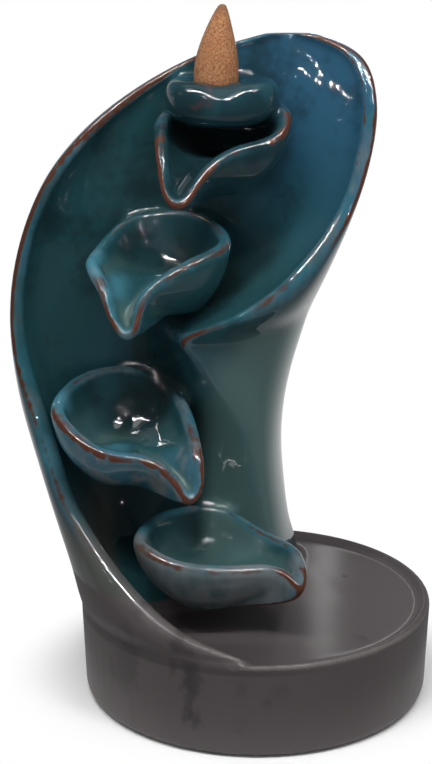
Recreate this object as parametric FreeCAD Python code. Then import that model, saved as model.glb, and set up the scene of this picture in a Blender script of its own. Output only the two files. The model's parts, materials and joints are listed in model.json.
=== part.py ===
"""Backflow incense burner: a glazed ceramic hood with four leaf cups, and the incense cone on its seat.

The smoke of a hollow incense cone is heavier than air. It sinks through the hole in the seat into the top
cup, runs out over that cup's spout, and falls from cup to cup down to the shallow dish of the base.

The hood, the cups, the seat and the base are luted together wet and fired as one piece of ceramic, so they
are one solid, hollow underneath. The incense cone stands loose in the seat and is a solid of its own.

Lengths are millimetres and +Z is up. The tables below are drawn from the drum's axis, +X to the right and +Y to
the back, seen from the front, where the cups are, over a drum 59.6 in radius and 33 high. They grow with the
drum's radius and rise with its height. The finished part stands on z = 0, with its origin under the middle of
the whole object.
"""

import FreeCAD, Part
import math
import os
from collections import namedtuple

Vector = FreeCAD.Vector
Z_AXIS = Vector(0, 0, 1)

# Base: a round drum with a shallow dish on top and a rounded foot
drum_radius = 59.6
drum_height = 33.0
foot_round = 4.0
foot_inset = 1.0
dish_depth = 1.9
dish_rim = 3.2
dish_fillet = 5.0

# Hollow under the drum
drum_wall = 9.0
drum_taper = 2.0
drum_floor = 8.0

# Hood
rim_wall = 4.2

# Leaf cups
lip_wall = 4.8
spout_wall = 3.8
cup_turns = 40

# Seat of the cone
seat_width = 36.0
seat_depth = 29.0
seat_thickness = 14.2
seat_dimple = 3.0
smoke_hole = 5.0

# Incense cone
cone_diameter = 14.0
cone_height = 25.0
cone_lean = 2.0
cone_offset = -1.9
cone_recess = 2.0
cone_clearance = 0.3
cone_bore = 3.0
cone_bore_depth = 15.0

# Level sections of the hood. left, back and right are the furthest points of the outside, floor is the bottom
# of the trough, and lip is 1 where the right rim is a thin edge and 0 where it is a rounded fold
Section = namedtuple("Section", "z left left_y right right_y back back_y floor floor_y lip")
SECTIONS = [
    Section(26, -57.6, 0, 15.5, 42, -21, 53.5, -25, -14, 0),
    Section(33, -60.5, 0, 16.5, 42, -21, 54.5, -26, -13, 0),
    Section(46, -63.3, 2, 13, 40, -23, 54, -29, -8, 0),
    Section(61, -67.5, 2, 11, 37, -25, 52.5, -37, 0, 0),
    Section(81, -72.8, 1, 9.5, 32, -27, 49.5, -42, 3.5, 0),
    Section(101, -78, -1, 11.2, 27, -28, 45.5, -43, 5, 0),
    Section(121, -80.4, -3, 16.2, 21, -28, 41, -40, 5.5, 0.25),
    Section(136, -80.2, -4, 20.3, 13, -26, 37, -35, 5.5, 0.8),
    Section(151, -78, -5, 24.8, 1, -23, 32.5, -28, 4.5, 1),
    Section(166, -73.4, -5.5, 29.6, -9, -18, 28, -20, 4.5, 1),
    Section(181, -66, -5, 34.4, -10, -11, 23.5, -12, 4.5, 1),
    Section(196, -52, -1.5, 37.2, -6, -4, 19.5, -5, 4.5, 1),
    Section(207, -36, 2, 36.4, -1.5, 1, 17, 1, 5, 1),
    Section(214.5, -20.5, 5, 33.5, 2, 5, 14, 6, 5.6, 1),
    Section(219, -7, 6.3, 26, 5, 8, 12.2, 9, 6, 1),
    Section(221.6, 2, 6.3, 17.5, 6.3, 9.7, 9.4, 9.7, 5.8, 1),
]

# The two rims, from the dish up to the top of the hood, as x, y, z
LEFT_RIM = [
    (1, -56.6, 26), (1, -59.4, 33), (-18, -55, 38), (-34, -46.5, 46), (-47, -36, 56), (-59, -27, 68), (-65, -22, 80),
    (-68.7, -19, 93), (-74.2, -15, 106.3), (-78.7, -12, 121.2), (-79.5, -12, 139.2), (-76.3, -12, 157.2),
    (-71.2, -12, 170.8), (-64.2, -11, 182.6), (-55.8, -8, 191.9), (-44.5, -4, 201.2), (-32, 0, 209.3),
    (-19.5, 3, 215.2), (-7.5, 4, 219.2), (3.5, 4, 221.6)]
RIGHT_RIM = [
    (6, 2, 32), (2, 0, 61), (-2, -5, 81), (-7, -12, 101), (-15, -18, 116), (-20, -22, 125), (-23.5, -24, 130.2),
    (-15.5, -26, 132.3), (-6, -27, 136), (6.4, -27, 143.3), (15.7, -25, 151.8), (23.6, -22, 160.6),
    (30, -18, 170.9), (34.7, -13, 184.4), (36.9, -9, 199.4), (36.2, -4.5, 207.6), (32.6, -0.5, 214.8),
    (25.2, 3, 219.6), (15.5, 4.5, 221.6)]
RING_HEIGHTS = [26, 30, 33, 36, 39.5, 43, 47, 53, 61, 71, 81, 91, 101, 110, 117, 123, 128, 132, 136, 141, 147, 154,
                162, 171, 180, 189, 197, 204, 210, 215, 218.6, 220.8, 221.6]

# Level ellipses of the hollow column: z, x, y, half width, half depth, turn in degrees
CORE = [
    (15, -21, 21, 26, 24, 0), (20, -21, 22, 26, 23, 0), (41, -24, 24, 25, 20, 0), (61, -28, 24, 25, 17, 0),
    (81, -32, 24, 25, 14, 5), (101, -34, 22.5, 24, 11.5, 8), (121, -35, 20, 22, 8.5, 10),
    (139, -34, 18, 17, 5.5, 10), (152, -32, 16.5, 9, 2.5, 10)]

# Each cup: the outer edge of its rim as x, y, z, the underside of its bowl, the floor of its bowl, and how far
# its spout hangs below its edge
Cup = namedtuple("Cup", "rim underside floor droop")
CUPS = [
    Cup([(-33, -13, 195), (-32, -4, 197.5), (-28, 3, 199.5), (-19, 7, 201.5), (-8, 6, 202.5), (3, 0, 202),
         (9, -9, 201), (10, -16, 199.5), (8, -21, 195.5), (2, -23.5, 192), (-5, -23.5, 190.3), (-12, -25, 187.2),
         (-17.5, -27.5, 182.2), (-21, -29.8, 177), (-25.5, -31, 174), (-29.3, -29.6, 176.8), (-31.3, -26, 184),
         (-32.6, -20.5, 191.3)],
        (-11, -8, 173), 185, 5),
    Cup([(-54.3, -18.5, 155), (-51.5, -10, 157.5), (-47, -1, 161), (-39, 4.5, 164), (-29, 5, 165),
         (-19, 1, 165), (-11.5, -8, 163), (-8.5, -17.5, 160), (-11.5, -23.5, 158.2), (-19, -28.5, 156),
         (-27, -31.5, 152.5), (-33.5, -33, 148.3), (-36.2, -35, 143.5), (-37.7, -37.8, 138), (-41, -39, 134.5),
         (-45, -37, 138), (-47.8, -34.5, 143.5), (-50, -31, 149)],
        (-26, -9, 135), 148, 5),
    Cup([(-67, -21, 107), (-64, -11, 110), (-57, -2, 112.2), (-47, 3.5, 112.7), (-36, 3.5, 111.3),
         (-27, -2, 108.3), (-22, -12, 104), (-19.2, -24, 99.4), (-17.5, -33.5, 92.5), (-18, -38, 85),
         (-21.8, -39.5, 80.5), (-25.5, -38, 84.5), (-30, -36.5, 90), (-37, -35.5, 93.5), (-46, -36, 94.5),
         (-55, -35, 98), (-62.5, -30, 102.5)],
        (-45, -14, 79), 92, 5),
    Cup([(-40.5, -31, 64), (-39, -20, 65), (-33.5, -10, 65.5), (-25, -2.5, 65), (-15, 1, 64.3),
         (-6, -2.5, 62.5), (2, -11, 60.4), (8.5, -17, 59), (13.3, -22, 58), (15.3, -30, 56.6), (15.5, -38, 54.6),
         (13.3, -42.3, 51.5), (10, -40.5, 54.7), (4, -38.5, 57), (-5, -40, 57.4), (-15, -41.5, 58),
         (-26, -41.5, 59.5), (-35.5, -38, 62.5)],
        (-17, -21, 38), 50, 4.5),
]

# The middle of the seat's underside, over the top cup
SEAT_PLACE = (-11.7, -9, 194.8)

# The side of the cone: share of the height, share of the foot's radius
CONE_PROFILE = [(0, 0.5), (0, 0.85), (0.0, 1.0), (0.05, 1.05), (0.2, 1.045), (0.38, 0.97), (0.55, 0.8), (0.72, 0.6),
                (0.86, 0.4), (0.96, 0.24), (1.0, 0.14), (1.0, 0.04)]

# One unit of the tables
unit = drum_radius / 59.6


def height(z):
    return drum_height + (z - 33) * unit


def place(x, y, z):
    """A point of the tables."""
    return Vector(x * unit, y * unit, height(z))


def follow(rows, z):
    """The values of a table at height z, along a smooth curve. The height is each row's last number."""
    z = min(max(z, rows[0][-1]), rows[-1][-1])
    i = max(k for k in range(len(rows) - 1) if rows[k][-1] <= z)
    a, b = rows[i], rows[i + 1]
    before, after = rows[max(i - 1, 0)], rows[min(i + 2, len(rows) - 1)]
    span = b[-1] - a[-1]
    t = (z - a[-1]) / span
    values = []
    for p0, p1, p2, p3 in zip(before[:-1], a[:-1], b[:-1], after[:-1]):
        leave = (p2 - p0) / (b[-1] - before[-1]) * span
        arrive = (p3 - p1) / (after[-1] - a[-1]) * span
        values.append((2 * t**3 - 3 * t**2 + 1) * p1 + (t**3 - 2 * t**2 + t) * leave
                      + (3 * t**2 - 2 * t**3) * p2 + (t**3 - t**2) * arrive)
    return values


def quarter(start, end, steps, leaves):
    """Points of a quarter ellipse from start to just before end. It leaves its start along x or along y."""
    points = []
    for k in range(steps):
        turn = k / steps * math.pi / 2
        along, across = math.sin(turn), 1 - math.cos(turn)
        sx, sy = (along, across) if leaves == "x" else (across, along)
        points.append((start[0] + (end[0] - start[0]) * sx, start[1] + (end[1] - start[1]) * sy))
    return points


def skin(rings, up_cuts=1, around_cuts=4):
    """A solid whose side is one smooth surface over closed rings of points, in patches, with flat ends."""
    up, around = len(rings), len(rings[0])
    surface = Part.BSplineSurface()
    surface.buildFromPolesMultsKnots(
        rings, [4] + [1] * (up - 4) + [4], [1] * (around + 1),
        [float(k) for k in range(up - 2)], [float(k) for k in range(around + 1)], False, True, 3, 3)
    rows = [round(k * (up - 3) / up_cuts) for k in range(up_cuts + 1)]
    columns = [round(k * around / around_cuts) for k in range(around_cuts + 1)]
    faces = []
    for low, high in zip(rows, rows[1:]):
        for left, right in zip(columns, columns[1:]):
            patch = surface.copy()
            patch.segment(low, high, left, right)
            faces.append(patch.toShape())
    for end in (surface.uIso(0), surface.uIso(up - 3)):
        arcs = []
        for left, right in zip(columns, columns[1:]):
            piece = end.copy()
            piece.segment(left, right)
            arcs.append(piece.toShape())
        faces.append(Part.Face(Part.Wire(arcs)))
    shell = Part.Shell(faces)
    shell.sewShape()
    solid = Part.Solid(shell)
    if solid.Volume < 0:
        solid.reverse()
    return solid


def hood_ring(z):
    """One level ring of the hood: round the outside from the left rim to the right one, back through the trough."""
    left, left_y, right, right_y, back, back_y, floor, floor_y, lip = follow([s[1:] + s[:1] for s in SECTIONS], z)
    rim_x, rim_y = follow(LEFT_RIM, z)
    end_x, end_y = follow(RIGHT_RIM, z)
    left, right = min(left, rim_x), max(right, end_x)
    ring = quarter((rim_x, rim_y), (left, left_y), 6, "x")
    ring += quarter((left, left_y), (back, back_y), 6, "y")
    ring += quarter((back, back_y), (right, right_y), 6, "x")
    ring += quarter((right, right_y), (end_x, end_y), 5, "y")
    gap = math.hypot(ring[-1][0] - end_x, ring[-1][1] - end_y)
    near = min(0.5, 3 / gap)
    ring.append((end_x + (ring[-1][0] - end_x) * near, end_y + (ring[-1][1] - end_y) * near))
    ring.append((end_x, end_y))
    wall = rim_wall / unit
    inner_x, inner_y = end_x - wall * (0.5 + 0.5 * lip), end_y
    for k in [0, 0.4, 1, 2, 3, 4, 5, 6]:
        t = k / 7
        edge_x, edge_y = 1 - math.cos(math.pi * t / 2), math.sin(math.pi * t / 2)
        fold_x, fold_y = t, (1 - math.cos(math.pi * t)) / 2
        sx, sy = fold_x + (edge_x - fold_x) * lip, fold_y + (edge_y - fold_y) * lip
        ring.append((inner_x + (floor - inner_x) * sx, inner_y + (floor_y - inner_y) * sy))
    away = wall / math.hypot(floor - rim_x, floor_y - rim_y)
    inner_x, inner_y = rim_x + (floor - rim_x) * away, rim_y + (floor_y - rim_y) * away
    side_x = left + wall
    wrap = min(1, (rim_x - left) / 40)
    leave_x = floor + (side_x - floor) * (0.55 + 0.45 * wrap)
    arrive_x = inner_x + (side_x - inner_x) * 0.9 * wrap
    arrive_y = inner_y + (floor_y - inner_y) * 0.55 * (1 - wrap)
    for k in [0, 1, 2, 3, 4, 5, 6, 6.6, 7]:
        t = k / 7
        a, b, c, d = (1 - t)**3, 3 * t * (1 - t)**2, 3 * t**2 * (1 - t), t**3
        ring.append((a * floor + b * leave_x + c * arrive_x + d * inner_x,
                     a * floor_y + b * floor_y + c * arrive_y + d * inner_y))
    return [place(x, y, z) for x, y in ring]


def hood():
    return skin([hood_ring(z) for z in RING_HEIGHTS], 6, 8)


def turned(outline):
    """A solid turned about the Z axis from an outline of edges in the XZ plane."""
    return Part.Face(Part.Wire(outline)).revolve(Vector(0, 0, 0), Z_AXIS, 360)


def arc(start, through, end):
    return Part.Arc(Vector(start[0], 0, start[1]), Vector(through[0], 0, through[1]), Vector(end[0], 0, end[1])).toShape()


def line(start, end):
    return Part.makeLine(Vector(start[0], 0, start[1]), Vector(end[0], 0, end[1]))


def drum():
    """The base: a rounded foot, a nearly straight side, a rounded rim and a dish that is a little deeper at the rim."""
    r, h, rim = drum_radius, drum_height, dish_rim / 2
    foot = r - foot_inset
    inner = r - 2 * rim
    floor = h - dish_depth
    return turned([
        line((0, 0), (foot - foot_round, 0)),
        arc((foot - foot_round, 0), (foot - foot_round * 0.29, foot_round * 0.29), (foot, foot_round)),
        line((foot, foot_round), (r, h - rim)),
        arc((r, h - rim), (r - rim, h), (inner, h - rim)),
        arc((inner, h - rim), (inner - dish_fillet * 0.3, floor + 0.1), (inner - dish_fillet, floor)),
        line((inner - dish_fillet, floor), (0, floor)),
        line((0, floor), (0, 0))])


def hollow():
    """The space inside: a round cavity under the drum and a tapering core up the column."""
    radius = drum_radius - drum_wall
    below = Part.makeCone(radius, radius - drum_taper, drum_height - drum_floor)
    outlines = []
    for z, x, y, half_width, half_depth, turn in CORE:
        outline = Part.Ellipse(Vector(0, 0, 0), half_width * unit, half_depth * unit).toShape()
        outline.rotate(Vector(0, 0, 0), Z_AXIS, turn)
        outline.translate(place(x, y, z))
        outlines.append(Part.Wire(outline))
    return below.fuse(Part.makeLoft(outlines, True, True))


def leaf_cup(cup):
    """A leaf cup: a round bowl with thick lips, drawn out at the front into a pinched and drooping spout."""
    curve = Part.BSplineCurve()
    curve.interpolate(Points=[place(*p) for p in cup.rim], PeriodicFlag=True)
    edge = curve.toShape().discretize(Number=cup_turns + 1)[:-1]
    under = place(*cup.underside)
    middle = Vector(under.x, under.y, 0)
    level = [Vector(p.x, p.y, 0) - middle for p in edge]
    bowl = sorted(v.Length for v in level)[cup_turns // 2]
    reach = max(v.Length for v in level) - bowl
    count = len(edge)
    inward = []
    for i in range(count):
        along = level[(i + 1) % count] - level[i - 1]
        side = Vector(-along.y, along.x, 0).normalize()
        inward.append(side if side.dot(level[i]) < 0 else -side)

    def ring(level_part, up_part, base_z, wall=0.0, lift=0.0, droop=0.0):
        points = []
        for i in range(count):
            far = max(0.0, level[i].Length - bowl) / reach
            thick = wall * (lip_wall + (spout_wall - lip_wall) * far)
            start = level[i] + inward[i] * thick
            out = min(start.Length, bowl) * level_part + max(0.0, start.Length - bowl) * level_part**5
            flat = start.normalize() * out
            z = base_z + (edge[i].z - base_z) * up_part + lift - droop * far
            points.append(Vector(middle.x + flat.x, middle.y + flat.y, z))
        return points

    base, floor = under.z, height(cup.floor)
    rings = [ring(0.2, 0, base), ring(0.4, 0, base)]
    for t in [0.62, 0.8, 0.92]:
        rings.append(ring(t, 1 - math.sqrt(1 - t * t), base, droop=cup.droop * (t - 0.4)))
    rings.append(ring(0.985, 0.82, base, droop=cup.droop * 0.6))
    rings.append(ring(1, 1, base, lift=-0.55 * lip_wall))
    rings.append(ring(1.01, 1, base, lift=-0.1 * lip_wall))
    rings.append(ring(1, 1, base, 0.45, 0.22 * lip_wall))
    rings.append(ring(1, 1, base, 0.9, 0.05 * lip_wall))
    rings.append(ring(0.99, 1, base, 1, -0.5 * lip_wall))
    for t in [0.9, 0.74, 0.5]:
        rings.append(ring(t, 1 - math.sqrt(1 - t * t), floor, 1, -0.35 * lip_wall * t))
    rings += [ring(0.3, 0, floor, 0.5), ring(0.15, 0, floor)]
    return skin(rings)


def seat():
    """The pebble that carries the cone: a squarish cushion with a dimple pressed into its front edge."""
    def ring(size, z, dent=0.0):
        points = []
        for k in range(32):
            a = 2 * math.pi * k / 32
            cos, sin = math.cos(a), math.sin(a)
            square = (abs(cos)**2.7 + abs(sin)**2.7)**(-1 / 2.7)
            front = dent * math.exp(-((math.remainder(a + math.pi / 2, 2 * math.pi)) / 0.36)**2)
            reach = size * square - front * 1.4 * seat_dimple / seat_depth
            points.append(Vector(seat_width / 2 * reach * cos, seat_depth / 2 * reach * sin, z - seat_dimple * front))
        return points
    t = seat_thickness
    pebble = skin([ring(0.25, 0), ring(0.55, 0), ring(0.84, t * 0.12), ring(0.98, t * 0.4, 0.1),
                   ring(1.01, t * 0.72, 0.5), ring(0.95, t * 0.97, 1), ring(0.76, t * 1.04, 0.8),
                   ring(0.5, t, 0.1), ring(0.25, t)])
    pebble.translate(place(*SEAT_PLACE))
    return pebble


def cone_foot():
    """Where the middle of the cone's foot stands, at the bottom of the recess in the seat."""
    return place(*SEAT_PLACE) + Vector(cone_offset, 0, seat_thickness - cone_recess)


def seat_recess():
    """The recess that the cone stands in and the smoke hole under it."""
    recess = Part.makeCylinder(cone_diameter / 2 + cone_clearance, 2 * cone_recess, cone_foot())
    hole = Part.makeCylinder(smoke_hole / 2, seat_thickness, cone_foot(), -Z_AXIS)
    return recess.fuse(hole)


def incense_cone():
    """A pressed incense cone, a little crooked, with a round foot, bulging sides and a blind bore up from its foot."""
    r, h = cone_diameter / 2, cone_height
    rings = []
    for up, size in CONE_PROFILE:
        axis = cone_lean * up**2
        rings.append([Vector(axis + r * size * math.cos(math.pi * k / 6), r * size * math.sin(math.pi * k / 6), h * up)
                      for k in range(12)])
    body = skin(rings)
    body = body.cut(Part.makeCylinder(cone_bore / 2, cone_bore_depth))
    body.translate(cone_foot())
    return body


def burner():
    pieces = [drum(), seat()] + [leaf_cup(cup) for cup in CUPS]
    whole = hood().fuse(pieces)
    return whole.cut([hollow(), seat_recess()])


# The hood reaches past the drum on the left, so the middle of the object lies that much to the left of the axis
overhang = -unit * min(section.left for section in SECTIONS) - drum_radius
middle = Vector(-overhang / 2, 0, 0)
os.makedirs("parts", exist_ok=True)
for name, solid in [("burner", burner()), ("incense_cone", incense_cone())]:
    solid.translate(-middle)
    solid.exportStep("parts/%s.step" % name)
    print(name, len(solid.Solids), "solid,", round(solid.Volume / 1000, 1), "cm3", solid.BoundBox)
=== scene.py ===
# %% [markdown]
# # A backflow incense burner in teal glaze
# The burner is one piece of fired ceramic: a round foot of bare dark clay, a hood like a curled leaf, four leaf
# cups that grow from it, and a pebble-shaped seat with an incense cone. Its smoke sinks through the seat and falls
# from cup to cup. The CAD model gives every size. This lesson dresses it: it softens the joints as wet clay and
# glaze do, paints the glaze and the clay, and sets up a light tent.

# %% Load the frame
import json
import math

import bmesh
import bpy
import numpy as np
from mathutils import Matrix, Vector
from mathutils.kdtree import KDTree

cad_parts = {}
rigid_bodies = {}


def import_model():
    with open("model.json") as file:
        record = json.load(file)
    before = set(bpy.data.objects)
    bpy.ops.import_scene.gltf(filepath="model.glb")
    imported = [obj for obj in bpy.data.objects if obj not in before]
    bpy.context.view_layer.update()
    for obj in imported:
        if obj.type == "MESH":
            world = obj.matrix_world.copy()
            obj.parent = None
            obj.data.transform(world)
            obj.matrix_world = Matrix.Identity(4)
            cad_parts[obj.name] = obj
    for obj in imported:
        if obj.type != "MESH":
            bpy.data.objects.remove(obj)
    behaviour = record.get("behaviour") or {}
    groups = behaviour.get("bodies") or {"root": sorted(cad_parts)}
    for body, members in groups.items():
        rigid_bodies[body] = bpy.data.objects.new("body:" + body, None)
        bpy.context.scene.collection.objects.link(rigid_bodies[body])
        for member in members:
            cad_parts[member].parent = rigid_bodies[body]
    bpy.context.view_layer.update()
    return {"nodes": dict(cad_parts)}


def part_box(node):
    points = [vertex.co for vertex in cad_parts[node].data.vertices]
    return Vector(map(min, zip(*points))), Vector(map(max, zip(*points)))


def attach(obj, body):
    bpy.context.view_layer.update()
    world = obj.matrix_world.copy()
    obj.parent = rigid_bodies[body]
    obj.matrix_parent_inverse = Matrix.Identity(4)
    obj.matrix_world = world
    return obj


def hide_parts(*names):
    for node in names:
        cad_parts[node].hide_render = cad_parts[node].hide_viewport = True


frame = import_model()
burner_node = frame["nodes"]["burner"]
cone_node = frame["nodes"]["incense_cone"]
MM = 0.001
low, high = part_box("burner")
AXIS_X = high.x - 0.5 * (high.y - low.y)
print("drum axis at", round(AXIS_X / MM, 2), "mm, top of the ceramic at", round(high.z / MM, 1), "mm")

# %% [markdown]
# ## Shader maths as expressions
# A material is easier to read when its maths looks like maths. A Socket holds one output of a node tree, and the
# operators on it add Math nodes, so a mask can be written as 1 - mask or wide * 0.5 + fine. Any other node comes
# from Socket.node, which takes the node's type, its settings and the values or links of its sockets.


# %% The socket class
class Socket:
    """One output in the node tree that is being built."""

    tree = None

    def __init__(self, output):
        self.output = output

    @classmethod
    def node(cls, kind, settings=None, inputs=None, output=0):
        """Adds a node: its settings first, then the values or links of its sockets. Gives one of its outputs."""
        made = cls.tree.nodes.new("ShaderNode" + kind)
        for name, value in (settings or {}).items():
            setattr(made, name, value)
        for name, value in (inputs or {}).items():
            if isinstance(value, Socket):
                cls.tree.links.new(value.output, made.inputs[name])
            else:
                made.inputs[name].default_value = value
        return cls(made.outputs[output]) if made.outputs else None

    def maths(self, operation, other, turned=False):
        pair = (other, self) if turned else (self, other)
        return Socket.node("Math", {"operation": operation}, {0: pair[0], 1: pair[1]})

    def __add__(self, other):
        return self.maths("ADD", other)

    def __sub__(self, other):
        return self.maths("SUBTRACT", other)

    def __mul__(self, other):
        return self.maths("MULTIPLY", other)

    def __pow__(self, other):
        return self.maths("POWER", other)

    def __rsub__(self, other):
        return self.maths("SUBTRACT", other, turned=True)

    __radd__ = __add__
    __rmul__ = __mul__

    def least(self, other):
        return self.maths("MINIMUM", other)

    def most(self, other):
        return self.maths("MAXIMUM", other)

    def step(self, start, end):
        """0 at start and 1 at end, with a soft run between them."""
        return Socket.node(
            "MapRange", {"interpolation_type": "SMOOTHSTEP"}, {"Value": self, "From Min": start, "From Max": end})

    def between(self, first, second):
        """The colour that lies between two others, with this socket as the share of the second."""
        a, b = [c if isinstance(c, Socket) else (*c, 1) for c in (first, second)]
        return Socket.node("Mix", {"data_type": "RGBA"}, {0: self, 6: a, 7: b}, output=2)


# %% Helpers for every material
def noise(place, scale, detail=2.0, rough=0.5):
    """A cloudy pattern whose patches are about 1 / scale metres wide."""
    return Socket.node("TexNoise", {}, {"Vector": place, "Scale": scale, "Detail": detail, "Roughness": rough})


def runny_noise(place, stretch, scale, detail=3.0, rough=0.6):
    """A cloudy pattern that is drawn out downwards, as glaze runs. A small stretch gives long runs."""
    drawn_out = Socket.node("Mapping", {}, {"Vector": place, "Scale": (1, 1, stretch)})
    return noise(drawn_out, scale, detail, rough)


def parts_of(place):
    """The x, y and z of a place, as three sockets."""
    first = Socket.node("SeparateXYZ", {}, {"Vector": place})
    return [Socket(output) for output in first.output.node.outputs]


def from_drum_axis(place):
    """The x, y and z of a place in millimetres, with x and y from the drum's axis and z from the table."""
    x, y, z = parts_of(place)
    return (x - AXIS_X) * 1000, y * 1000, z * 1000


def zone(*runs):
    """The share of a zone. Each run is a socket with the value where it starts and the one where it is full."""
    share, *others = [socket.step(start, full) for socket, start, full in runs]
    for other in others:
        share = share * other
    return share


def new_material(name):
    made = bpy.data.materials.new(name)
    made.use_nodes = True
    made.node_tree.nodes.clear()
    Socket.tree = made.node_tree
    return made


def close_material(shader):
    Socket.node("OutputMaterial", {}, {"Surface": shader})
    print("closed a material of", len(Socket.tree.nodes), "nodes")


# %% [markdown]
# ## The ceramic
# On the real burner the cups were luted to the hood while wet, and the glaze filled every corner, so no joint is
# sharp. The solid has sharp joints. A Bevel would stumble over the long thin triangles of a CAD mesh, so a copy of
# it is merged and rebuilt on a fine even grid with Remesh, where a point can be averaged with its neighbours.

# %% Even copy of the burner's mesh
GRID = 0.8 * MM
MERGE_DISTANCE = 0.002 * MM


def settle(made):
    """Applies an object's modifiers to its mesh."""
    graph = bpy.context.evaluated_depsgraph_get()
    old = made.data
    made.data = bpy.data.meshes.new_from_object(made.evaluated_get(graph))
    made.modifiers.clear()
    bpy.data.meshes.remove(old)


def even_copy(node, name, grid):
    """A merged copy of a CAD node's mesh, rebuilt on an even grid."""
    made = bpy.data.objects.new(name, node.data.copy())
    bpy.context.scene.collection.objects.link(made)
    form = bmesh.new()
    form.from_mesh(made.data)
    bmesh.ops.remove_doubles(form, verts=form.verts, dist=MERGE_DISTANCE)
    form.to_mesh(made.data)
    form.free()
    remesh = made.modifiers.new("even", "REMESH")
    remesh.mode = "VOXEL"
    remesh.voxel_size = grid
    settle(made)
    return made


ceramic = even_copy(burner_node, "glazed_ceramic", GRID)
print("even mesh:", len(ceramic.data.vertices), "points")


# %% Averages over neighbours
def read_points(mesh):
    points = np.empty(len(mesh.vertices) * 3)
    mesh.vertices.foreach_get("co", points)
    return points.reshape(-1, 3)


def read_normals(mesh):
    normals = np.empty(len(mesh.vertices) * 3)
    mesh.vertex_normals.foreach_get("vector", normals)
    return normals.reshape(-1, 3)


class Neighbours:
    """Averages values over each point's neighbours."""

    def __init__(self, mesh):
        pairs = np.empty(len(mesh.edges) * 2, int)
        mesh.edges.foreach_get("vertices", pairs)
        pairs = pairs.reshape(-1, 2)
        self.start = np.concatenate([pairs[:, 0], pairs[:, 1]])
        self.end = np.concatenate([pairs[:, 1], pairs[:, 0]])
        self.count = np.bincount(self.start, minlength=len(mesh.vertices))

    def mean(self, values):
        if values.ndim == 1:
            return np.bincount(self.start, values[self.end], len(self.count)) / self.count
        return np.stack([self.mean(values[:, k]) for k in range(values.shape[1])], 1)

    def soften(self, values, times):
        for _ in range(times):
            values = 0.5 * values + 0.5 * self.mean(values)
        return values


def standing_out(mesh, near, times):
    """How far each point stands out of its softened surroundings, in millimetres. Hollow places are negative."""
    points = read_points(mesh)
    away = points - near.soften(points, times)
    return np.einsum("ij,ij->i", away, read_normals(mesh)) / MM


near = Neighbours(ceramic.data)
print("each point has", near.count.min(), "to", near.count.max(), "neighbours")

# %% [markdown]
# Only the hollow corners are relaxed. A point there lies deeper than its softened surroundings, so that depth picks
# the corners out, and the rims, which stand out, stay as sharp as the CAD model has them. Two light rounds over
# the whole mesh then take the steps of the grid away.

# %% Relax the hollow corners
GLAZED_FROM = 30 * MM
CORNER_DEPTH, CORNER_RUN = 0.12, 0.2
points = read_points(ceramic.data)
hollow = -standing_out(ceramic.data, near, 8)
corner = np.clip((hollow - CORNER_DEPTH) / CORNER_RUN, 0, 1) * (points[:, 2] > GLAZED_FROM)
corner = np.clip(near.soften(corner, 10) * 2.5, 0, 1)
for _ in range(40):
    points += corner[:, None] * 0.6 * (near.mean(points) - points)
points = near.soften(points, 2)
ceramic.data.vertices.foreach_set("co", points.ravel())
ceramic.data.update()
print("points in corners:", int((corner > 0.5).sum()))

# %% [markdown]
# Glaze is thinnest where the clay stands out, and there it breaks to orange-brown. It pools where the clay is
# hollow. Both could be painted by hand, but they are read from the shape itself: a point is compared with its
# softened surroundings, once closely for the sharp line of a rim and once widely for the pale band beside it. The
# brown line fades out where a surface faces the back.

# %% Where the clay stands out
rim_line = standing_out(ceramic.data, near, 5)
rim_band = standing_out(ceramic.data, near, 60)
facing_front = np.clip((0.25 - read_normals(ceramic.data)[:, 1]) / 0.7, 0, 1)
measures = {"rim_line": rim_line * facing_front, "rim_band": rim_band}
print("the rims stand out up to", round(float(rim_line.max()), 2), "mm")

# %% [markdown]
# The even mesh is finer than the piece needs. Decimate merges its flat places and keeps the rims. The two measures
# were taken on the fine mesh, so each point of the lighter one takes them from the nearest fine point, and they
# become attributes that the glaze's material can read.

# %% Lighter mesh with the measures
MOST_FACES = 190000
finder = KDTree(len(points))
for index, point in enumerate(read_points(ceramic.data)):
    finder.insert(point, index)
finder.balance()
faces = sum(len(face.vertices) - 2 for face in ceramic.data.polygons)
if faces > MOST_FACES:
    lighter = ceramic.modifiers.new("lighter", "DECIMATE")
    lighter.ratio = MOST_FACES / faces
    settle(ceramic)
nearest = [finder.find(vertex.co)[1] for vertex in ceramic.data.vertices]
for name, values in measures.items():
    layer = ceramic.data.attributes.new(name, "FLOAT", "POINT")
    layer.data.foreach_set("value", values[nearest].astype(np.float32))
ceramic.data.shade_smooth()
print("dressed mesh:", len(ceramic.data.polygons), "faces out of", faces)

# %% [markdown]
# ## The glaze
# The glaze is a deep teal that turns blue high in the hood and pale beside the rims, where it is thin. It is milky
# on the cups' fronts and dark where it pools in hollows. Painted shade makes it nearly black in the trough and under
# the seat, and a painted sheen lightens the column. A flat colour with one noise would look like paint. Here each
# of these finishes is a mask made of soft runs in height and depth, of noise and of the two measures, and the
# masks lay one colour over another. Heights are in millimetres above the table, and x and y start at the drum's axis.

# %% Places and patterns that the finishes share
glaze = new_material("teal_glaze")
place = Socket.node("TexCoord", output="Object")
x, y, z = from_drum_axis(place)
from_axis = (x * x + y * y) ** 0.5
line = Socket.node("Attribute", {"attribute_name": "rim_line"}, output="Fac")
band = Socket.node("Attribute", {"attribute_name": "rim_band"}, output="Fac")
cloud = noise(place, 18, 3)
fine_cloud = noise(place, 110, 3, 0.6)
patches = noise(place, 55, 3, 0.6)
runs = runny_noise(place, 0.25, 70)
print("shared patterns:", len(Socket.tree.nodes), "nodes")

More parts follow.
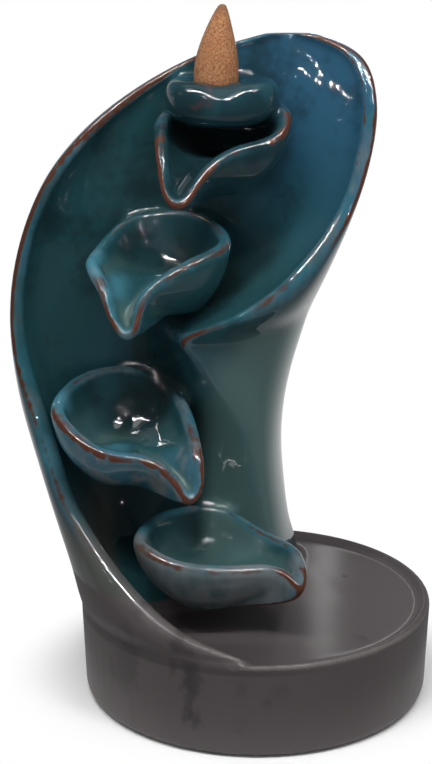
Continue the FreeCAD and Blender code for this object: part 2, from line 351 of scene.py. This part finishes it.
# %% Teal, blue high in the hood, green in the bowls
DEEP_TEAL = (0.0150, 0.0600, 0.0700)
HIGH_BLUE = (0.0210, 0.0780, 0.1330)
POOL_GREEN = (0.0090, 0.0210, 0.0220)
BOWL_GREEN = (0.0800, 0.1350, 0.1200)
high_right = zone((z, 140, 206), (x, -34, 12))
blue_share = (high_right + cloud.step(0.50, 0.75) * 0.25).least(1)
body = blue_share.between(DEEP_TEAL, HIGH_BLUE)
front = zone((y, -4, -13), (z, 174, 160))
hollow_share = (0 - band).step(-0.05, 1.0) * (1 - high_right)
body = (hollow_share * 0.85).between(body, front.between(POOL_GREEN, BOWL_GREEN))
print("teal body:", len(Socket.tree.nodes), "nodes so far")

# %% Painted shade in the trough and under the seat, and a dark mottle
DARK_MOTTLE_AND_SHADE = (0.0070, 0.0115, 0.0125)
# Painted shade: the trough and the hollow under the seat are darkened in the base colour where shade falls. The
# mottle below is random dark tone in the same colour.
painted_trough_shade = zone((x + (150 - z) * 0.4, -36, -14), (z, 172, 150), (y, -14, -6), (x, 14, 2), (y, 14, 8))
painted_shade_under_seat = zone((z, 168, 176), (z, 199, 195), (x, -32, -26), (x, 12, 4), (band, 0.10, -0.25))
body = (painted_trough_shade * 0.7).most(painted_shade_under_seat * 0.9).between(body, DARK_MOTTLE_AND_SHADE)
mottle = noise(place, 42, 4, 0.65).step(0.44, 0.64)
body = (mottle * (0.55 - front * 0.35)).between(body, DARK_MOTTLE_AND_SHADE)
print("dark pools:", len(Socket.tree.nodes), "nodes so far")

# %% [markdown]
# The column under the fold has a painted grey-green sheen: a lighter base colour stands in for the tent's reflection
# there. The seat is darker than the hood behind it, with runs from its rim downwards.

# %% Painted sheen on the column, and the seat
PAINTED_SHEEN_GREY = (0.0690, 0.1300, 0.1290)
SEAT_DARK = (0.0060, 0.0190, 0.0230)
SEAT_PALE = (0.0110, 0.0360, 0.0430)
# Painted reflection: the column's grey-green sheen is painted into the base colour.
column = zone((x, -21, -13), (z, 134, 124), (z, 36, 46), (y, -22, -16), (y, 36, 8))
body = (column * 0.95).between(body, PAINTED_SHEEN_GREY)
seat = zone((x, 16, 10), (y, -8, -15), (z, 166, 178))
body = (seat * 0.9).between(body, runs.step(0.35, 0.62).between(SEAT_DARK, SEAT_PALE))
print("column and seat:", len(Socket.tree.nodes), "nodes so far")

# %% [markdown]
# Beside a rim the glaze is thin and goes pale blue, in patches and not as an even stripe. The left lips of the middle
# cups are the bluest. On the fronts of the two lower cups the glaze turned milky, in fine streaks of lilac and blue.

# %% Thin glaze, blue lips and rust on the seat
THIN_BLUE = (0.0230, 0.1000, 0.1320)
LIP_BLUE = (0.0480, 0.1650, 0.2150)
SEAT_RUST = (0.0750, 0.0290, 0.0260)
thin_share = (band + runs * 0.8 - 0.40).step(0.15, 0.90) * (patches.step(0.44, 0.56) * 0.85 + 0.15)
body = (thin_share * (1 - seat * 0.75) * 0.85).between(body, THIN_BLUE)
left_lip = zone((band, -0.45, 0.10), (x, -38, -48), (y, -13, -19), (z, 80, 90))
body = (left_lip * (patches.step(0.36, 0.52) * 0.5 + 0.45)).between(body, LIP_BLUE)
seat_rust = seat * zone((noise(place, 75, 3), 0.54, 0.66), (z, 196, 202))
body = (seat_rust * 0.7).between(body, SEAT_RUST)
print("thin glaze:", len(Socket.tree.nodes), "nodes so far")

# %% Milky streaks
MILK_LILAC = (0.1200, 0.1400, 0.1500)
MILK_BLUE = (0.0380, 0.1100, 0.1500)
low_front = zone((y, -22, -32), (z, 124, 106))
milk_beside_rims = zone((cloud + runs * 0.6 - 0.3, 0.42, 0.60), (band, 0.3, 0.7)) * 0.6
milk_share = (band.step(-0.55, -0.10) * low_front).most(milk_beside_rims) * (1 - seat)
streaks = runny_noise(place, 0.2, 130)
milk = zone((streaks, 0.42, 0.58), (z, 50, 85)).between(MILK_LILAC, MILK_BLUE)
body = (milk_share * (runs.step(0.34, 0.58) * 0.65 + 0.35)).between(body, milk)
print("milky glaze:", len(Socket.tree.nodes), "nodes so far")

# %% [markdown]
# On the very edge of a rim the glaze breaks and shows the brown body. The line is broken in places and whole in
# others: on the lower cups' fronts, high on the left and along both outer sides of the hood. Low on the left the
# dipped glaze is so thin that the grey clay shows through it.

# %% Brown where the glaze breaks, grey where it ends
BROKEN_BROWN = (0.0680, 0.0240, 0.0140)
DIP_GREY = (0.0600, 0.0580, 0.0500)
low_rim = zone((z, 114, 106), (y, -18, -26))
whole_line = low_rim.most(zone((z, 165, 175), (x, -20, -30))).most(x.step(12, 20)).most(x.step(-56, -64))
cover = noise(place, 30, 2).step(0.40, 0.50).most(whole_line)
broken = (line + fine_cloud * 0.06 + low_rim * 0.013 - 0.03).step(0.100, 0.150) * cover
glazed_colour = broken.between(body, BROKEN_BROWN)
low_outside = zone((z, 80, 58), (from_axis, 46, 52), (x, -30, -40))
glazed_colour = (low_outside * 0.8).between(glazed_colour, DIP_GREY)
print("rims and dip line:", len(Socket.tree.nodes), "nodes so far")

# %% [markdown]
# ## The bare clay
# The foot is bare dark clay, smooth and faintly polished. It has dark smudges and drips and a small pit in the dish.
# Its sides are painted lighter as a sheen, its ledge and the front of its dish are painted darker as shade, and a
# painted highlight runs along its rim. It is made in the same material as the glaze, because both are skins of one
# piece, and a mask with a sharp edge parts them.

# %% Clay, smudges, drips, a pit and a painted sheen on the sides
BARE_CLAY = (0.0710, 0.0600, 0.0615)
SMUDGE = (0.0240, 0.0210, 0.0220)
SIDE_SHEEN_CLAY = (0.1200, 0.1040, 0.1060)
PIT_DARK = (0.0120, 0.0100, 0.0100)
PIT_X, PIT_Y = 32, 17
smudge = noise(place, 40, 4).step(0.60, 0.72) * 0.55
clay_colour = smudge.between(BARE_CLAY, SMUDGE)
drips = zone((runny_noise(place, 0.6, 80, 4, 0.5), 0.50, 0.62), (x, -44, -34), (x, -12, -20), (y, -20, -30))
clay_colour = (drips * 0.7).between(clay_colour, SMUDGE)
pit = (((x - PIT_X) ** 2 + (y - PIT_Y) ** 2) ** 0.5).step(1.5, 0.6)
clay_colour = (pit * 0.9).between(clay_colour, PIT_DARK)
# Painted sheen: the drum's sides are made lighter where side light falls on them.
painted_side_sheen = x.step(-24, -48).most(x.step(30, 52)) * z.step(33, 30)
clay_colour = (painted_side_sheen * 0.35).between(clay_colour, SIDE_SHEEN_CLAY)
print("clay:", len(Socket.tree.nodes), "nodes so far")

# %% Painted shade on the ledge and the dish's front, and a painted highlight on the rim
LEDGE_SHADE = (0.0560, 0.0480, 0.0490)
RIM_HIGHLIGHT_CLAY = (0.1500, 0.1380, 0.1320)
# Painted shade: the upward-facing ledge is darkened against the light it receives.
ledge = zone((z, 29, 30.5), (z, 36, 34), (x, 20, -8), (from_axis, 47, 52))
# Painted shadow: the dish's front below the lowest cup is darkened where that cup's shadow falls.
dish_front_shade = zone((z, 33.2, 32.6), (z, 29, 30), (x, 34, -16), (y, -34, -43))
clay_colour = (ledge * (1 - dish_front_shade) * 0.9).between(clay_colour, LEDGE_SHADE)
clay_colour = (dish_front_shade * 0.48).between(clay_colour, SMUDGE)
# Painted highlight: a light line along the crest of the drum's rim.
rim_highlight = zone((line, 0.07, 0.18), (z, 25, 30))
clay_colour = rim_highlight.between(clay_colour, RIM_HIGHLIGHT_CLAY)
print("ledge and rim:", len(Socket.tree.nodes), "nodes so far")

# %% [markdown]
# The hood was dipped upside down, so on its outside the glaze ends in a level, slightly wavy line above the foot.
# Inside, it was poured and ran on down to the dish, so there the line lies lower. The distance from the drum's axis
# tells the two apart. The glaze is a clear gloss with a faint ripple, left out high in the hood where the reflections
# are crisp. The clay is rough with a thin polished coat.

# %% Edge of the glaze and the two shaders
DIP_HEIGHT, DISH_EDGE = 48, 35
WALL_INSIDE, WALL_OUTSIDE = 51, 56
wobble = noise(place, 30, 1) * 6 - 3
edge = from_axis.step(WALL_INSIDE, WALL_OUTSIDE) * (DIP_HEIGHT - DISH_EDGE) + DISH_EDGE
glazed = (z + wobble - edge).step(-0.7, 0.7)
grain = noise(place, 900)
clay_bump = Socket.node("Bump", {}, {"Strength": 0.05, "Distance": 0.3 * MM, "Height": grain})
clay_shader = Socket.node("BsdfPrincipled", {}, {
    "Base Color": clay_colour, "Roughness": 0.55, "Specular IOR Level": 0.2, "Normal": clay_bump,
    "Coat Weight": 0.18, "Coat Roughness": 0.13})
ripple = noise(place, 85) * (1 - high_right)
glaze_bump = Socket.node("Bump", {}, {"Strength": 0.10, "Distance": 0.6 * MM, "Height": ripple})
glaze_shader = Socket.node("BsdfPrincipled", {}, {
    "Base Color": glazed_colour, "Roughness": 0.01, "IOR": 1.5, "Normal": glaze_bump})
close_material(Socket.node("MixShader", {}, {0: glazed, 1: clay_shader, 2: glaze_shader}))
ceramic.data.materials.clear()
ceramic.data.materials.append(glaze)
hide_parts("burner")
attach(ceramic, "root")

# %% [markdown]
# ## The incense cone
# A backflow cone is pressed from wood powder. It is dry and matte, with a fine grain and a few darker specks, and
# the tip is a little darker. Its shape is right as it is, so it stays the CAD node and only its material is new.

# %% Pressed powder
POWDER_DARK = (0.1400, 0.0530, 0.0220)
POWDER_PALE = (0.4300, 0.2150, 0.1000)
POWDER_PATCH = (0.2600, 0.1000, 0.0440)
TIP_BROWN = (0.1500, 0.0750, 0.0400)
powder = new_material("pressed_powder")
place = Socket.node("TexCoord", output="Object")
z = parts_of(place)[2] * 1000
grain = noise(place, 1500, 4, 0.75)
tan = grain.step(0.32, 0.68).between(POWDER_DARK, POWDER_PALE)
tan = (noise(place, 160).step(0.4, 0.75) * 0.4).between(tan, POWDER_PATCH)
tan = (z.step(227.5, 231.8) * 0.6).between(tan, TIP_BROWN)
powder_bump = Socket.node("Bump", {}, {"Strength": 0.5, "Distance": 0.4 * MM, "Height": grain})
close_material(Socket.node("BsdfPrincipled", {}, {
    "Base Color": tan, "Roughness": 0.9, "Specular IOR Level": 0.2, "Normal": powder_bump}))
cone_node.data.materials.clear()
cone_node.data.materials.append(powder)

# %% [markdown]
# ## The light tent
# The photograph was taken in a white tent. The glaze mirrors pale cloth behind and above it, and a darker side
# where the camera stands. Light Path keeps three jobs apart here: the camera sees plain white, glossy rays see the
# tent's cloth, and all other rays see one plain grey, so that every colour renders about as it is written.

# %% World
WHITE = (1.0, 1.0, 1.0)
PLAIN_LIGHT = (0.44, 0.44, 0.44)
CAMERA_SIDE = (0.060, 0.064, 0.070)


def staged(tone):
    """White to the camera, the tone to reflections and plain light to all else."""
    camera_ray = Socket.node("LightPath", output="Is Camera Ray")
    glossy_ray = Socket.node("LightPath", output="Is Glossy Ray")
    return camera_ray.between(glossy_ray.between(PLAIN_LIGHT, tone), WHITE)


world = bpy.data.worlds.new("tent")
bpy.context.scene.world = world
world.use_nodes = True
world.node_tree.nodes.clear()
Socket.tree = world.node_tree
dx, dy, dz = parts_of(Socket.node("TexCoord", output="Generated"))
cloth_behind = zone((dy, 0.0, 0.7), (dz, 0.42, 0.05)) * 0.45
cloth_above = dz.step(0.75, 0.95) * 0.6
tent = cloth_behind.most(cloth_above).between(CAMERA_SIDE, WHITE)
Socket.node("OutputWorld", {}, {"Surface": Socket.node("Background", {}, {"Color": staged(tent)})})
print("tent:", len(world.node_tree.nodes), "nodes")

# %% [markdown]
# The floor is matte paper under the burner, where it takes the shadow, and further out it glows just enough to be
# white to the camera. In reflections it is dark in front of the burner, a little paler near it and pale behind it.

# %% Floor
FLOOR_RADIUS = 8.0
FLOOR_DARK = (0.080, 0.085, 0.090)
FLOOR_PALE = (0.70, 0.70, 0.70)
PAPER = (0.92, 0.92, 0.92, 1)
floor_mesh = bpy.data.meshes.new("floor")
form = bmesh.new()
bmesh.ops.create_circle(form, cap_ends=True, segments=64, radius=FLOOR_RADIUS)
form.to_mesh(floor_mesh)
form.free()
floor = bpy.data.objects.new("floor", floor_mesh)
bpy.context.scene.collection.objects.link(floor)
paper = new_material("pale_paper")
x, y = from_drum_axis(Socket.node("TexCoord", output="Object"))[:2]
away = (x * x + y * y) ** 0.5
pale_share = (away.step(240, 160) * 0.32).most(y.step(-20, 250))
matte = Socket.node("BsdfDiffuse", {}, {"Color": PAPER})
glowing = Socket.node("Emission", {}, {"Color": staged(pale_share.between(FLOOR_DARK, FLOOR_PALE))})
close_material(Socket.node("MixShader", {}, {0: away.step(60, 90), 1: matte, 2: glowing}))
floor.data.materials.append(paper)

# %% [markdown]
# The lamps are flat soft boxes, as in a studio. A box is placed by the angles at which the burner sees it, since
# these decide where its mirror image lies in the glaze: two wide boxes overhead, two small bright windows, a
# narrow strip behind for the sheen in the dish, and a row of short bright bars above the camera.


# %% Soft boxes
def softbox(name, place, aim, width, height, radiance):
    """A rectangular lamp at a place in millimetres, turned to a point. A radiance of 1 looks white."""
    lamp = bpy.data.lights.new(name, "AREA")
    lamp.shape = "RECTANGLE"
    lamp.size, lamp.size_y = width * MM, height * MM
    lamp.energy = radiance * math.pi * lamp.size * lamp.size_y
    made = bpy.data.objects.new(name, lamp)
    bpy.context.scene.collection.objects.link(made)
    made.location = Vector(place) * MM
    made.rotation_euler = (Vector(aim) - Vector(place)).to_track_quat("-Z", "Y").to_euler()
    return made


def toward(centre, side, rise, distance):
    """The place at a distance from a centre, by its angles to the right of the camera's side and above level."""
    a, e = math.radians(side), math.radians(rise)
    return Vector(centre) + distance * Vector((math.sin(a) * math.cos(e), -math.cos(a) * math.cos(e), math.sin(e)))


AXIS = AXIS_X / MM
middle = Vector((AXIS - 20, 0, 110))
BOXES = {
    "roof_left": (-38, 60, 700, 260, 200, 2.4),
    "roof_right": (42, 55, 700, 260, 200, 2.4),
    "window_left": (-18, 56, 640, 46, 90, 40),
    "window_right": (33, 47, 680, 30, 60, 40)}
for name, (side, rise, distance, width, height, radiance) in BOXES.items():
    softbox(name, toward(middle, side, rise, distance), middle, width, height, radiance)
softbox("strip_behind", (AXIS + 66, 620, 250), middle, 16, 200, 7)
RAIL_BARS, RAIL_LEFT, RAIL_STEP = 22, -322, 29.3
for k in range(RAIL_BARS):
    softbox("rail_%d" % k, Vector((AXIS + RAIL_LEFT + RAIL_STEP * k, -300, 620)), middle, 14, 4, 700)
print("soft boxes:", len(bpy.data.lights))

# %% [markdown]
# The photograph shows dotted lines of light in the hood and on the cups, the mirror images of strings of small
# lamps. Each string is a path of directions as the top of the hood sees them, with lamps spaced evenly along it.
# The lamps are so bright that they would light the clay as well, so visible_diffuse is off: they show as points in
# the glaze and leave the colours alone.

# %% Strings of small lamps
STRING_DISTANCE = 760
hood_top = Vector((AXIS + 20, 0, 205))
ARC = [(-3, 4), (-10, 9), (-20, 12.3), (-30, 15), (-43, 16.6), (-60, 16.3), (-76, 14)]
ARC_END = [(-70, 21), (-31, 25.5)]
SWAG = [(30, 8), (22, 18), (13, 27), (7, 36), (2, 44), (0, 51), (-12, 47), (-30, 42), (-60, 45), (-78, 43)]


def lamp_string(name, path, count, size, radiance):
    """Small square lamps along a path of (side, rise) angles."""
    whole = np.cumsum([0] + [math.dist(a, b) for a, b in zip(path, path[1:])])
    sides, rises = zip(*path)
    for k, reach in enumerate(np.linspace(0, whole[-1], count)):
        side, rise = float(np.interp(reach, whole, sides)), float(np.interp(reach, whole, rises))
        place = toward(hood_top, side, rise, STRING_DISTANCE)
        lamp = softbox("%s_%d" % (name, k), place, hood_top, size, size, radiance)
        lamp.visible_diffuse = False


lamp_string("arc", ARC, 40, 0.9, 3000)
lamp_string("arc_end", ARC_END, 9, 0.9, 3000)
lamp_string("swag", SWAG, 34, 3.0, 3500)
print("lamps in all:", len(bpy.data.lights))

# %% [markdown]
# ## The camera
# The camera was solved from the ellipse of the drum's rim in the photograph: its focal length in pixels, its place
# and the angle at which it looks down.

# %% Camera
FOCAL_PIXELS, PHOTO_HEIGHT, SENSOR = 1793.3, 764, 36
LOOKS_DOWN = 16.84
eye = bpy.data.cameras.new("camera")
eye.sensor_width = SENSOR
eye.lens = FOCAL_PIXELS / PHOTO_HEIGHT * SENSOR
eye.clip_start, eye.clip_end = 0.01, 50
camera = bpy.data.objects.new("camera", eye)
bpy.context.scene.collection.objects.link(camera)
camera.location = (AXIS_X - 13.6 * MM, -570 * MM, 280.5 * MM)
camera.rotation_euler = (math.radians(90 - LOOKS_DOWN), 0, 0)
bpy.context.scene.camera = camera
bpy.context.scene.view_settings.view_transform = "Standard"
print("camera lens", round(eye.lens, 2), "mm")
